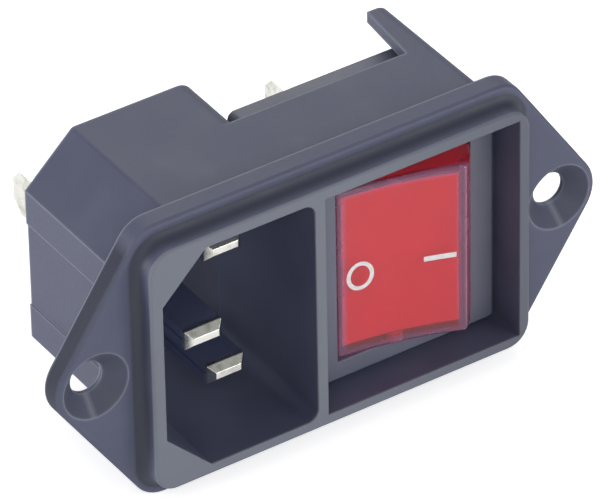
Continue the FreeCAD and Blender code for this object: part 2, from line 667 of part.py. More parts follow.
def make_switch_body():
    """The switch's black case: bezel, snap wedges, pivot holes and a floor with slots."""
    body = new_body("switch_body")
    x = switch_x
    left, right = x - bezel_half, x + bezel_half
    deep(body, "bezel", rectangle(left, right, -bezel_top, bezel_top), -d.bezel_thick, 0)
    corners = edges_at(body.Tip, x=left, along="y") + edges_at(body.Tip, x=right, along="y")
    fillet(body, "bezel_corners", corners, d.bezel_corner)
    chamfer(body, "bezel_bevel", edges_at(body.Tip, y=-d.bezel_thick), d.bezel_bevel)
    deep(body, "case", rectangle(x - switch_half, x + switch_half, -switch_top, switch_top),
         0, switch_reach)
    long_edges = []
    for side in (x - switch_half, x + switch_half):
        for level in (switch_top, -switch_top):
            long_edges += edges_at(body.Tip, x=side, z=level, along="y")
    fillet(body, "case_edges", long_edges, d.switch_round)

    tall_round(body, "rocker_opening", x, pivot_y, room_half * 2, -rocker_room, rocker_room, remove=True)
    room = rectangle(x - room_half, x + room_half, -rocker_room, rocker_room)
    deep(body, "case_room", room, pivot_y, floor_front, remove=True)
    tall_round(body, "pivot_holes", x, pivot_y, d.pivot_pin + d.pivot_gap * 2,
               -switch_top, switch_top, remove=True)

    for name, place in (("centre", x), ("closed", x - terminal_span)):
        thin = d.tab_thick / 2 + d.fit_gap / 2
        wide = d.tab_wide / 2 + d.fit_gap / 2
        for pole, z in (("upper", pole_z), ("lower", -pole_z)):
            slot = rectangle(place - thin, place + thin, z - wide, z + wide)
            deep(body, "%s_%s_slot" % (pole, name), slot, floor_front, switch_reach, remove=True)
    for pole, z in (("upper", pole_z), ("lower", -pole_z)):
        half = d.blade_width / 2
        stop = rectangle(stop_left, stop_right, z - half, z + half)
        deep(body, pole + "_stop", stop, stop_y, floor_front)
    middle = d.pole_wall / 2
    wall = rectangle(x - room_half, x + room_half, -middle, middle)
    deep(body, "pole_wall", wall, arm_front, floor_front)

    for side, level, outward in (("upper", switch_top, 1), ("lower", -switch_top, -1)):
        rise = level + d.snap_height if outward > 0 else level - d.snap_height
        sketch = new_sketch(body, side + "_snap_sketch", "YZ_Plane", x - d.snap_width / 2)
        draw_outline(sketch, [
            (d.seat_thick + d.fit_gap, level), (d.seat_thick + d.fit_gap, rise),
            (d.seat_thick + d.fit_gap + d.snap_length, level),
        ])
        add(body, side + "_snap", sketch, d.snap_width, False)
    return body


# The rocker's face is part of a large cylinder, hollow by the given depth between its ends.
face_half_squared = d.rocker_radius * d.rocker_radius - d.face_rise * d.face_rise
face_radius = (face_half_squared + d.face_hollow * d.face_hollow) / (d.face_hollow * 2)
lead_grip = (d.barrel_width - d.barrel_bore) / 2 - d.carrier_gap * 2


def draw_rocker(sketch, inset, foot):
    """The rocker's profile about its pivot: hollow face, two round ends, flat lower edge."""
    radius = d.rocker_radius - inset
    hollow = face_radius + inset
    centre = d.face_rise - d.face_hollow + face_radius
    reach = (radius * radius + centre * centre - hollow * hollow) / (centre * 2)
    across = math.sqrt(radius.value ** 2 - reach.value ** 2)
    top = math.atan2(-reach.value, across)
    low = math.asin(foot.value / radius.value)
    bend = math.atan2(centre.value - reach.value, across)
    up = FreeCAD.Vector(0, 0, 1)
    middle = FreeCAD.Vector(0, 0, 0)
    corner = radius.value * math.cos(low)
    left = FreeCAD.Vector(-corner, foot.value, 0)
    right = FreeCAD.Vector(corner, foot.value, 0)
    sketch.addGeometry(Part.LineSegment(left, right), False)
    ends = Part.Circle(middle, up, radius.value)
    sketch.addGeometry(Part.ArcOfCircle(ends, top, low), False)
    face_circle = Part.Circle(FreeCAD.Vector(0, -centre.value, 0), up, hollow.value)
    sketch.addGeometry(Part.ArcOfCircle(face_circle, bend, math.pi - bend), False)
    sketch.addGeometry(Part.ArcOfCircle(ends, math.pi - low, math.pi - top), False)
    for first, end, second, start in ((0, 2, 1, 2), (1, 1, 2, 1), (2, 2, 3, 2), (3, 1, 0, 1)):
        sketch.addConstraint(Sketcher.Constraint("Coincident", first, end, second, start))
    for arc in (1, 3):
        sketch.addConstraint(Sketcher.Constraint("Coincident", arc, 3, -1, 1))
    pin_point(sketch, 2, 3, 0, -centre, "face")
    for arc, size in ((1, radius), (2, hollow), (3, radius)):
        index = sketch.addConstraint(Sketcher.Constraint("Radius", arc, size.value))
        sketch.renameConstraint(index, "radius%d" % arc)
        sketch.setExpression("Constraints.radius%d" % arc, size.text)
    sketch.addConstraint(Sketcher.Constraint("Horizontal", 0))
    index = sketch.addConstraint(Sketcher.Constraint("DistanceY", -1, 1, 0, 1, foot.value))
    sketch.renameConstraint(index, "foot")
    sketch.setExpression("Constraints.foot", foot.text)


def make_lens():
    """Clear red cap of the rocker: hollow face, round ends, thin walls."""
    body = new_body("rocker_lens", switch_x, pivot_y)
    half = rocker_half
    sketch = new_sketch(body, "lens_sketch", "XY_Plane", -half)
    draw_rocker(sketch, as_size(0), -d.lens_skirt)
    add(body, "lens_block", sketch, half * 2, False)
    sides = edges_at(body.Tip, z=half) + edges_at(body.Tip, z=-half)
    foot = edges_at(body.Tip, y=-d.lens_skirt)
    edges = [name for name in sides if name not in foot] + edges_at(body.Tip, y=-d.face_rise, along="z")
    fillet(body, "lens_edges", edges, d.lens_round)
    sketch = new_sketch(body, "lens_hollow_sketch", "XY_Plane", -(half - d.lens_wall))
    draw_rocker(sketch, d.lens_wall, -d.lens_skirt)
    cut(body, "lens_hollow", sketch, (half - d.lens_wall) * 2, True)
    tall_round(body, "pin_saddles", 0, 0, d.pivot_pin + d.carrier_gap * 2, -half, half, remove=True)
    tilt_body(body, d.rocker_tilt, FreeCAD.Vector(0, 0, -1))
    return body


def make_carrier():
    """Pale inner body of the rocker: roof, walls, pivot pins and two plunger barrels."""
    body = new_body("rocker_carrier", switch_x, pivot_y)
    inset = d.lens_wall + d.carrier_gap
    half = rocker_half - inset
    sketch = new_sketch(body, "carrier_sketch", "XY_Plane", -half)
    draw_rocker(sketch, inset, d.carrier_depth)
    add(body, "carrier_block", sketch, half * 2, False)
    inset = inset + d.carrier_wall
    inner = half - d.carrier_wall
    sketch = new_sketch(body, "carrier_hollow_sketch", "XY_Plane", -inner)
    draw_rocker(sketch, inset, d.carrier_depth)
    cut(body, "carrier_hollow", sketch, inner * 2, True)
    reach = rocker_half + d.pivot_length
    tall_round(body, "upper_pivot_pin", 0, 0, d.pivot_pin, inner, reach)
    tall_round(body, "lower_pivot_pin", 0, 0, d.pivot_pin, -reach, -inner)
    roof = d.face_rise - inset
    hole = d.lead_wire + d.carrier_gap * 2
    for side, z, depth in (("upper", pole_z, -d.bulb_rise), ("lower", -pole_z, d.resistor_drop)):
        deep_round(body, side + "_barrel", 0, z, d.barrel_width, -roof, d.barrel_reach)
        deep_round(body, side + "_bore", 0, z, d.barrel_bore, -d.bore_top, d.barrel_reach, remove=True)
        sketch = new_sketch(body, side + "_lead_hole_sketch", "YZ_Plane", -(d.barrel_width / 2))
        draw_circle(sketch, depth, z, hole)
        cut(body, side + "_lead_hole", sketch, lead_grip + d.carrier_gap, True)
    tilt_body(body, d.rocker_tilt, FreeCAD.Vector(0, 0, -1))
    return body


def spin(body, name, sketch, axis):
    """Turns a sketch's half outline right round one of its own axes."""
    turned = body.newObject("PartDesign::Revolution", name)
    turned.Profile = sketch
    turned.ReferenceAxis = (sketch, [axis])
    turned.Angle = 360
    doc.recompute()
    return turned


def make_plunger(side, z):
    """Spring-loaded plunger: a plain stem with a domed tip."""
    body = new_body("plunger_" + side, switch_x, pivot_y, z)
    across = d.barrel_bore - d.plunger_gap * 2
    head = d.plunger_reach - d.plunger_length
    radius = across / 2
    shoulder = d.plunger_reach - radius
    sketch = new_sketch(body, side + "_stem_sketch", "XY_Plane", 0)
    places = [(0, d.plunger_reach), (0, head), (radius, head), (radius, shoulder)]
    vectors = [FreeCAD.Vector(as_size(a).value, as_size(b).value, 0) for a, b in places]
    for i in range(3):
        sketch.addGeometry(Part.LineSegment(vectors[i], vectors[i + 1]), False)
        pin_point(sketch, i, 1, places[i][0], places[i][1], str(i))
    pin_point(sketch, 2, 2, radius, shoulder, "side")
    dome = Part.Circle(FreeCAD.Vector(0, shoulder.value, 0), FreeCAD.Vector(0, 0, 1), radius.value)
    sketch.addGeometry(Part.ArcOfCircle(dome, 0, math.pi / 2), False)
    for first, end, second, start in ((0, 2, 1, 1), (1, 2, 2, 1), (2, 2, 3, 1), (3, 2, 0, 1)):
        sketch.addConstraint(Sketcher.Constraint("Coincident", first, end, second, start))
    sketch.addConstraint(Sketcher.Constraint("PointOnObject", 3, 3, -2))
    spin(body, side + "_stem", sketch, "V_Axis")
    tilt_body(body, d.rocker_tilt, FreeCAD.Vector(0, 0, -1))
    return body


# The spring's wire is drawn with six sides, and this is half the angle of one side.
half_side = Size(30.0, "30")


def make_spring(side, z):
    """Compression spring between the blind end of the bore and the plunger's head."""
    body = new_body("plunger_spring_" + side, switch_x, pivot_y)
    mean = (d.barrel_bore - d.spring_wire) / 2 - d.fit_gap / 2
    half = d.spring_wire / 2
    start = half - d.bore_top
    height = d.plunger_reach - d.plunger_length - half - start
    sketch = new_sketch(body, side + "_wire_sketch", "XY_Plane", z)
    wide, narrow = half * cosine(half_side), half * sine(half_side)
    draw_outline(sketch, [
        (mean - half, start), (mean - narrow, start - wide), (mean + narrow, start - wide),
        (mean + half, start), (mean + narrow, start + wide), (mean - narrow, start + wide),
    ])
    helix = body.newObject("PartDesign::AdditiveHelix", side + "_coil")
    helix.Profile = sketch
    helix.ReferenceAxis = (sketch, ["V_Axis"])
    helix.Mode = "height-turns-angle"
    helix.Height = height.value
    helix.setExpression("Height", height.text)
    helix.Turns = d.spring_turns.value
    helix.setExpression("Turns", d.spring_turns.text)
    doc.recompute()
    tilt_body(body, d.rocker_tilt, FreeCAD.Vector(0, 0, -1))
    return body


def lying_round(body, name, depth, z, diameter, left, right):
    """Adds a round bar that lies along the rocker."""
    left, right = as_size(left), as_size(right)
    sketch = new_sketch(body, name + "_sketch", "YZ_Plane", left)
    draw_circle(sketch, depth, z, diameter)
    return add(body, name, sketch, right - left, False)


def make_bulb():
    """Glass neon bulb that lies along the rocker, with a nipple at each end."""
    body = new_body("neon_bulb", switch_x, pivot_y)
    half = d.bulb_length / 2
    glass = half - d.nipple_length
    depth = -d.bulb_rise
    lying_round(body, "bulb_glass", depth, 0, d.bulb_width, -glass, glass)
    ends = edges_at(body.Tip, x=glass) + edges_at(body.Tip, x=-glass)
    chamfer(body, "bulb_ends", ends, d.bulb_shoulder)
    lying_round(body, "bulb_nipples", depth, 0, d.nipple_width, -half, half)
    tilt_body(body, d.rocker_tilt, FreeCAD.Vector(0, 0, -1))
    return body


def make_resistor():
    """Series resistor: a slim body between two wider end caps."""
    body = new_body("series_resistor", switch_x, pivot_y)
    half = d.resistor_length / 2
    cap = d.cap_length
    lying_round(body, "resistor_left_cap", d.resistor_drop, 0, d.resistor_width, -half, -(half - cap))
    chamfer(body, "left_cap_bevel", edges_at(body.Tip, x=-half), d.cap_bevel)
    lying_round(body, "resistor_rod", d.resistor_drop, 0, d.resistor_rod, -(half - cap), half)
    lying_round(body, "resistor_right_cap", d.resistor_drop, 0, d.resistor_width, half - cap, half)
    chamfer(body, "right_cap_bevel", edges_at(body.Tip, x=half), d.cap_bevel)
    tilt_body(body, d.rocker_tilt, FreeCAD.Vector(0, 0, -1))
    return body


def make_lead(name, plane, level, path):
    """A round wire bent along a path that starts in the X direction."""
    body = new_body(name, switch_x, pivot_y)
    spine = new_sketch(body, name + "_path", plane, level)
    points = [FreeCAD.Vector(as_size(a).value, as_size(b).value, 0) for a, b in path]
    for i in range(len(points) - 1):
        spine.addGeometry(Part.LineSegment(points[i], points[i + 1]), False)
    for i in range(len(points) - 2):
        spine.addConstraint(Sketcher.Constraint("Coincident", i, 2, i + 1, 1))
    for i in range(len(points) - 1):
        pin_point(spine, i, 1, path[i][0], path[i][1], str(i))
    pin_point(spine, len(points) - 2, 2, path[-1][0], path[-1][1], "end")
    profile = new_sketch(body, name + "_section", "YZ_Plane", path[0][0])
    depth, z = (path[0][1], 0) if plane == "XY_Plane" else (-as_size(level), path[0][1])
    draw_circle(profile, depth, z, d.lead_wire)
    doc.recompute()
    pipe = body.newObject("PartDesign::AdditivePipe", name + "_wire")
    pipe.Profile = profile
    pipe.Spine = (spine, ["Edge%d" % (i + 1) for i in range(len(points) - 1)])
    pipe.Transition = "Right corner"
    doc.recompute()
    tilt_body(body, d.rocker_tilt, FreeCAD.Vector(0, 0, -1))
    return body


def make_leads():
    """The three wires of the lamp: barrel to bulb, bulb to resistor, resistor to barrel."""
    bulb = d.bulb_length / 2
    rod = d.resistor_length / 2
    bend = d.lead_reach
    end = d.barrel_width / 2 - lead_grip
    make_lead("lamp_lead_upper", "XZ_Plane", d.bulb_rise,
              [(-bulb, 0), (-bend, 0), (-bend, pole_z), (-end, pole_z)])
    make_lead("lamp_link", "XY_Plane", 0,
              [(bulb, -d.bulb_rise), (bend, -d.bulb_rise), (bend, d.resistor_drop), (rod, d.resistor_drop)])
    make_lead("lamp_lead_lower", "XZ_Plane", -d.resistor_drop,
              [(-rod, 0), (-bend, 0), (-bend, -pole_z), (-end, -pole_z)])


def make_contact_blade(side, z):
    """Rocking contact blade: a hollow middle under the plunger and two flat arms."""
    body = new_body("contact_blade_" + side, switch_x, fulcrum_y, z)
    half = d.blade_width / 2
    front = arm_front - fulcrum_y
    rear = arm_depth
    tall(body, side + "_strip", rectangle(-blade_arm, blade_arm, front, rear), -half, half)
    belly = d.cradle_half + d.blade_thick / 2
    tall(body, side + "_belly", [
        (-belly, rear), (-d.cradle_half / 2, 0), (d.cradle_half / 2, 0), (belly, rear),
    ], -half, half)
    cup = pivot_y - fulcrum_y
    tall_round(body, side + "_cup", 0, cup, cup_radius * 2, -half, half, remove=True)
    corners = []
    for x in (blade_arm, -blade_arm):
        for level in (half, -half):
            corners += edges_at(body.Tip, x=x, z=level, along="y")
    fillet(body, side + "_blade_corners", corners, d.blade_corner)
    tilt_body(body, d.blade_tilt, FreeCAD.Vector(0, 0, 1))
    return body


def make_moving_contact(side, z):
    """Silver contact riveted under the blade's left arm."""
    body = new_body("moving_contact_" + side, switch_x, fulcrum_y, z)
    deep_round(body, side + "_moving_button", -contact_arm, 0, d.contact_width, arm_depth, moving_face)
    chamfer(body, side + "_moving_edge", edges_at(body.Tip, y=moving_face), d.moving_bevel)
    tilt_body(body, d.blade_tilt, FreeCAD.Vector(0, 0, 1))
    return body


def make_fixed_contact(side, z):
    """Silver contact on the foot of the closed-side terminal."""
    body = new_body("fixed_contact_" + side)
    x = switch_x - contact_arm
    deep_round(body, side + "_fixed_button", x, z, d.contact_width, fixed_y, foot_front)
    chamfer(body, side + "_fixed_edge", edges_at(body.Tip, y=fixed_y), d.fixed_bevel)
    return body


def make_terminal(name, x, z, foot_left, foot_right):
    """A terminal bent from strip: a foot on the switch's floor and a tab through it."""
    body = new_body(name)
    half = d.tab_wide / 2
    thin = d.tab_thick / 2
    end = switch_reach + d.terminal_reach
    side_tab(body, name, x, z, foot_front, end)
    foot = rectangle(foot_left, foot_right, z - half, z + half)
    deep(body, name + "_foot", foot, foot_front, floor_front)
    return body, thin


def make_terminals():
    """Four terminals of the switch: two in the middle with a ridge, two on the closed side."""
    x = switch_x
    for side, z in (("upper", pole_z), ("lower", -pole_z)):
        foot = d.ridge_foot / 2
        body, thin = make_terminal("centre_terminal_" + side, x, z, x - foot, x + foot)
        half = d.blade_width / 2
        top = fulcrum_y + d.ridge_gap
        left, right = x - d.ridge_half, x + d.ridge_half
        tall(body, side + "_ridge", rectangle(left, right, top, floor_front), z - half, z + half)
        crown = edges_at(body.Tip, x=left, y=top) + edges_at(body.Tip, x=right, y=top)
        fillet(body, side + "_ridge_crown", crown, d.ridge_round)
        left = x - terminal_span
        make_terminal("on_terminal_" + side, left, z, left - thin, x - contact_arm + d.contact_foot / 2)


make_housing()
make_rear_plate()
for blade_name, blade_x, blade_z in blade_places():
    make_blade(blade_name, blade_x, blade_z)
make_switch_body()
make_lens()
make_carrier()
for pole_name, pole_level in (("upper", pole_z), ("lower", -pole_z)):
    make_plunger(pole_name, pole_level)
    make_spring(pole_name, pole_level)
    make_contact_blade(pole_name, pole_level)
    make_moving_contact(pole_name, pole_level)
    make_fixed_contact(pole_name, pole_level)
make_terminals()
make_bulb()
make_resistor()
make_leads()
doc.recompute()

for item in doc.Objects:
    if "Invalid" in item.State or "Error" in item.State:
        raise RuntimeError("%s is not up to date: %s" % (item.Label, item.State))

os.makedirs("parts", exist_ok=True)
for item in doc.Objects:
    if item.TypeId != "PartDesign::Body":
        continue
    if item.Shape.isNull() or not item.Shape.isValid() or len(item.Shape.Solids) != 1:
        raise RuntimeError(item.Label + " is not one valid solid")
    item.Shape.exportStep("parts/%s.step" % item.Label)
    print("%s %.2f mm3" % (item.Label, item.Shape.Volume))
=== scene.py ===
import bmesh
import bpy
import json
import math
from mathutils import Matrix, Vector


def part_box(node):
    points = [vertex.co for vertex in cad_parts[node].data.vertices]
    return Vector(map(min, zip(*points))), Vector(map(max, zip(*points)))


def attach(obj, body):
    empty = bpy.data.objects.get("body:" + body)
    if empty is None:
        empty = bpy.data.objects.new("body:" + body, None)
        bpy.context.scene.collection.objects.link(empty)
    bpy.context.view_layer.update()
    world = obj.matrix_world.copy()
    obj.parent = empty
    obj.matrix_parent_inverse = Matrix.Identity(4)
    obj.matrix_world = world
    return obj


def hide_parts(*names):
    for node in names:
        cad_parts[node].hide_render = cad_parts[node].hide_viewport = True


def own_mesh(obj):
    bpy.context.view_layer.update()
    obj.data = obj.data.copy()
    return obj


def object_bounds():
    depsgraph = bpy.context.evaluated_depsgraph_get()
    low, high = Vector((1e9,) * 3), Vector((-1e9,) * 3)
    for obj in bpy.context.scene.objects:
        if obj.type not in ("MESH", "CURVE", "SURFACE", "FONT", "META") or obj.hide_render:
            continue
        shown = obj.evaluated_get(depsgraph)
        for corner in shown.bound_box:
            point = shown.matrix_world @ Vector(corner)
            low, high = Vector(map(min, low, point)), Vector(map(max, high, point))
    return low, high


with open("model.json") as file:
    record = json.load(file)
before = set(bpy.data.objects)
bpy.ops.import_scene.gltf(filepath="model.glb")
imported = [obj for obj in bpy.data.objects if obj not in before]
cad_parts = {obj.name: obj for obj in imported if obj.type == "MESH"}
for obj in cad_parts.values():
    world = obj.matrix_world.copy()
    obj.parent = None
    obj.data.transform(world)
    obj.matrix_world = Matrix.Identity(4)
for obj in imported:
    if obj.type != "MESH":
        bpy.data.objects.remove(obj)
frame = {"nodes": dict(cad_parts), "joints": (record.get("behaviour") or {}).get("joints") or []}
cad_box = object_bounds()
MM = 0.001

# Housing. One black moulding of glass-filled nylon: ears, rim, plug cavity, inlet shell and switch
# pocket. Painted light on it: a painted highlight on the rim's front, lighter on the left; painted
# shade in the cove, on the ears' edges and in the screw holes' countersinks; the hollows painted
# lighter the deeper they go; and a painted highlight along sharp edges. A weld line runs down from
# each screw hole.
DUST_SCALE = 420
DUST_SHARE = 0.5
DUST_COLOUR = (0.45, 0.46, 0.48, 1)


def new_group(name, inputs, outputs):
    """An empty shader node group, with its sockets given as name: (kind, value) and name: kind."""
    tree = bpy.data.node_groups.new(name, "ShaderNodeTree")
    for title, (kind, value) in inputs.items():
        socket = tree.interface.new_socket(title, in_out="INPUT", socket_type="NodeSocket" + kind)
        socket.default_value = value
    for title, kind in outputs.items():
        tree.interface.new_socket(title, in_out="OUTPUT", socket_type="NodeSocket" + kind)
    return tree, tree.nodes.new("NodeGroupInput"), tree.nodes.new("NodeGroupOutput")


def object_place(tree, stretch=(1, 1, 1), turn=(0, 0, 0), shift=(0, 0, 0)):
    """Object coordinates in metres, through a Mapping node."""
    place = tree.nodes.new("ShaderNodeTexCoord")
    mapping = tree.nodes.new("ShaderNodeMapping")
    mapping.inputs["Scale"].default_value = stretch
    mapping.inputs["Rotation"].default_value = turn
    mapping.inputs["Location"].default_value = shift
    tree.links.new(place.outputs["Object"], mapping.inputs["Vector"])
    return mapping.outputs["Vector"]


def noise(tree, place, scale, detail, roughness=0.5):
    """A Noise Texture's value; scale is a number per metre, or a socket."""
    texture = tree.nodes.new("ShaderNodeTexNoise")
    texture.inputs["Detail"].default_value = detail
    texture.inputs["Roughness"].default_value = roughness
    tree.links.new(place, texture.inputs["Vector"])
    feed(tree, scale, texture.inputs["Scale"])
    return texture.outputs["Fac"]


def feed(tree, value, socket):
    """Links a socket to another, or sets it to a plain value."""
    if isinstance(value, bpy.types.NodeSocket):
        tree.links.new(value, socket)
    else:
        socket.default_value = value


def remap(tree, value, low, high, to_low=0.0, to_high=1.0):
    """Moves a value from one range to another, and clamps it there."""
    node = tree.nodes.new("ShaderNodeMapRange")
    for title, number in zip(("Value", "From Min", "From Max", "To Min", "To Max"),
                             (value, low, high, to_low, to_high)):
        feed(tree, number, node.inputs[title])
    return node.outputs["Result"]


def compute(tree, operation, first, second=0.0):
    """A Math node of two values."""
    node = tree.nodes.new("ShaderNodeMath")
    node.operation = operation
    feed(tree, first, node.inputs[0])
    feed(tree, second, node.inputs[1])
    return node.outputs["Value"]


def blend(tree, share, first, second):
    """Mixes two colours by a share from 0 to 1."""
    node = tree.nodes.new("ShaderNodeMix")
    node.data_type = "RGBA"
    feed(tree, share, node.inputs["Factor"])
    feed(tree, first, node.inputs["A"])
    feed(tree, second, node.inputs["B"])
    return node.outputs["Result"]


def axis_value(tree, place, axis):
    """One coordinate of a place."""
    node = tree.nodes.new("ShaderNodeSeparateXYZ")
    tree.links.new(place, node.inputs["Vector"])
    return node.outputs[axis]


def moulded_grain():
    """The skin of a moulding: fine grain, faint flow clouds and a few specks of dust."""
    tree, entry, result = new_group(
        "moulded grain",
        {"Colour": ("Color", (0.03, 0.03, 0.03, 1)), "Cloud Colour": ("Color", (0.05, 0.05, 0.05, 1)),
         "Grain Scale": ("Float", 5200.0), "Cloud Scale": ("Float", 160.0),
         "Roughness": ("Float", 0.5)},
        {"Colour": "Color", "Roughness": "Float", "Height": "Float"})
    place = object_place(tree)
    grain = noise(tree, place, entry.outputs["Grain Scale"], 2.5)
    cloud = noise(tree, place, entry.outputs["Cloud Scale"], 3.0)
    dust = tree.nodes.new("ShaderNodeTexVoronoi")
    dust.inputs["Scale"].default_value = DUST_SCALE
    tree.links.new(place, dust.inputs["Vector"])
    near = remap(tree, dust.outputs["Distance"], 0.05, 0.03)
    chosen = remap(tree, axis_value(tree, dust.outputs["Color"], "X"), 0.93, 0.94)
    speck = compute(tree, "MULTIPLY", near, chosen)
    tinted = blend(tree, remap(tree, cloud, 0.42, 0.68), entry.outputs["Colour"],
                   entry.outputs["Cloud Colour"])
    dusted = blend(tree, compute(tree, "MULTIPLY", speck, DUST_SHARE), tinted, DUST_COLOUR)
    shift = remap(tree, cloud, 0.3, 0.7, -0.05, 0.05)
    rough = compute(tree, "ADD", entry.outputs["Roughness"], shift)
    rough = compute(tree, "ADD", rough, remap(tree, grain, 0.3, 0.7, -0.05, 0.05))
    tree.links.new(dusted, result.inputs["Colour"])
    tree.links.new(rough, result.inputs["Roughness"])
    tree.links.new(compute(tree, "ADD", grain, speck), result.inputs["Height"])
    return tree


MOULDED_GRAIN = moulded_grain()


def new_material(name):
    """A material with one Principled shader, whose tree and shader it returns too."""
    material = bpy.data.materials.new(name)
    material.use_nodes = True
    tree = material.node_tree
    return material, tree, tree.nodes["Principled BSDF"]


def soft_edges(tree, shader, height, depth, edge=0.0):
    """Bump of a depth in metres, on normals that are rounded over sharp edges."""
    bump = tree.nodes.new("ShaderNodeBump")
    bump.inputs["Distance"].default_value = depth
    tree.links.new(height, bump.inputs["Height"])
    if edge:
        rounded = tree.nodes.new("ShaderNodeBevel")
        rounded.samples = 6
        rounded.inputs["Radius"].default_value = edge
        tree.links.new(rounded.outputs["Normal"], bump.inputs["Normal"])
    tree.links.new(bump.outputs["Normal"], shader.inputs["Normal"])


def place_group(tree, group, **values):
    """Puts a node group in a material and sets its inputs, named with _ for a space."""
    node = tree.nodes.new("ShaderNodeGroup")
    node.node_tree = group
    for title, value in values.items():
        feed(tree, value, node.inputs[title.replace("_", " ")])
    return node


def finish_node(name, material):
    """Gives a CAD node's object one material, in all its slots."""
    node = frame["nodes"][name]
    if not node.material_slots:
        node.data.materials.append(material)
    for slot in node.material_slots:
        slot.material = material


NYLON = (0.072, 0.080, 0.136, 1)
NYLON_CLOUD = (0.084, 0.093, 0.152, 1)
# Painted highlight on the rim's front: pale, lighter on the left and fading to the right.
RIM_HIGHLIGHT_LEFT = (0.160, 0.178, 0.222, 1)
RIM_HIGHLIGHT_RIGHT = (0.108, 0.119, 0.155, 1)
# Painted light in the plug cavity and switch recess, with its own painted light on the cavity's floor.
HOLLOW_PAINTED_LIGHT = (0.31, 0.335, 0.46, 1)
FLOOR_PAINTED_LIGHT = (0.15, 0.16, 0.225, 1)
WELD_COLOUR = (0.15, 0.16, 0.21, 1)
# Painted shade in the screw holes' countersinks.
SINK_PAINTED_SHADE = (0.060, 0.066, 0.105, 1)
# Painted shade on the ears' outer edges.
EAR_EDGE_PAINTED_SHADE = (0.034, 0.038, 0.063, 1)
# Painted shade in the cove round the rim.
COVE_PAINTED_SHADE = (0.026, 0.031, 0.056, 1)
# Painted highlight along sharp edges.
EDGE_PAINTED_HIGHLIGHT = (0.24, 0.26, 0.33, 1)
NYLON_ROUGH = 0.55
EDGE_ROUGH = 0.3
NYLON_IOR = 1.53
FLANGE_FRONT = -2.2 * MM
EAR_START = 21 * MM
EAR_FADE = 1 * MM
EDGE_FRONT_FADE = 0.5 * MM
EDGE_REAR_FADE = 0.15 * MM
COVE_REAR = -2.25 * MM
COVE_MIDDLE = -2.9 * MM
COVE_FRONT = -3.7 * MM
EDGE_HIGHLIGHT_SHARE = 0.75
EDGE_HIGHLIGHT_RADIUS = 0.4 * MM
RIM_FRONT = -4.3 * MM
RIM_EDGE = 0.25 * MM
RIM_TURN = 2 * MM
HOLLOW_START = -2 * MM
CAVITY_LEFT = -19.5 * MM
CAVITY_RIGHT = -3.0 * MM
CAVITY_CORNER = 4.75 * MM
CAVITY_FLOOR = 12.5 * MM
RECESS_RIGHT = 19.6 * MM
HOLLOW_HALF = 12.25 * MM
HOLE_PLACE = 25.5 * MM
SINK_RADIUS = 3.45 * MM
SINK_FADE = 0.1 * MM
SINK_REAR = -0.2 * MM
SINK_SHARE = 0.8
WELD_LEAN = 0.1
WELD_HALF = 0.5 * MM
SLACK = 0.02 * MM
EDGE_RADIUS = 0.22 * MM
NYLON_RELIEF = 0.006 * MM


def above(tree, value, level):
    """1 where a value is above a level, else 0."""
    return compute(tree, "GREATER_THAN", value, level)


def within(tree, value, low, high):
    """1 where a value lies between two levels, with a little slack, else 0."""
    return both(tree, above(tree, value, low - SLACK), above(tree, high + SLACK, value))


def both(tree, first, second):
    """The product of two masks."""
    return compute(tree, "MULTIPLY", first, second)


def sharp_edges(tree, radius):
    """1 on sharp edges, falling to 0 at a distance of radius from them."""
    rounded = tree.nodes.new("ShaderNodeBevel")
    rounded.samples = 8
    rounded.inputs["Radius"].default_value = radius
    surface = tree.nodes.new("ShaderNodeNewGeometry")
    agree = tree.nodes.new("ShaderNodeVectorMath")
    agree.operation = "DOT_PRODUCT"
    tree.links.new(rounded.outputs["Normal"], agree.inputs[0])
    tree.links.new(surface.outputs["Normal"], agree.inputs[1])
    return remap(tree, agree.outputs["Value"], 0.998, 0.95)


nylon, tree, shader = new_material("black nylon")
skin = place_group(tree, MOULDED_GRAIN, Colour=NYLON, Cloud_Colour=NYLON_CLOUD, Roughness=NYLON_ROUGH)
place = object_place(tree)
across = axis_value(tree, place, "X")
depth = axis_value(tree, place, "Y")
height = axis_value(tree, place, "Z")
level = compute(tree, "ABSOLUTE", height)

to_corner = compute(tree, "SUBTRACT", compute(tree, "ADD", across, HOLLOW_HALF - CAVITY_LEFT), level)
in_cavity = both(tree, within(tree, across, CAVITY_LEFT, CAVITY_RIGHT),
                 within(tree, depth, RIM_FRONT, CAVITY_FLOOR))
in_cavity = both(tree, in_cavity, above(tree, to_corner, CAVITY_CORNER - SLACK))
in_recess = both(tree, within(tree, across, CAVITY_RIGHT, RECESS_RIGHT),
                 within(tree, depth, RIM_FRONT, 0))
in_hollow = both(tree, compute(tree, "MAXIMUM", in_cavity, in_recess),
                 within(tree, level, 0, HOLLOW_HALF))
# Painted light: the hollows are painted lighter the deeper they go, with their own colour on the
# cavity's floor.
deeper = remap(tree, depth, HOLLOW_START, CAVITY_FLOOR)
deeper = both(tree, deeper, deeper)
on_floor = both(tree, in_cavity, above(tree, depth, CAVITY_FLOOR - SLACK))
hollow_painted_light = blend(tree, on_floor, HOLLOW_PAINTED_LIGHT, FLOOR_PAINTED_LIGHT)
colour = blend(tree, both(tree, in_hollow, deeper), skin.outputs["Colour"], hollow_painted_light)

from_hole = compute(tree, "SUBTRACT", compute(tree, "ABSOLUTE", across), HOLE_PLACE)
radius = compute(tree, "SQRT", compute(tree, "ADD", both(tree, from_hole, from_hole),
                                       both(tree, height, height)))
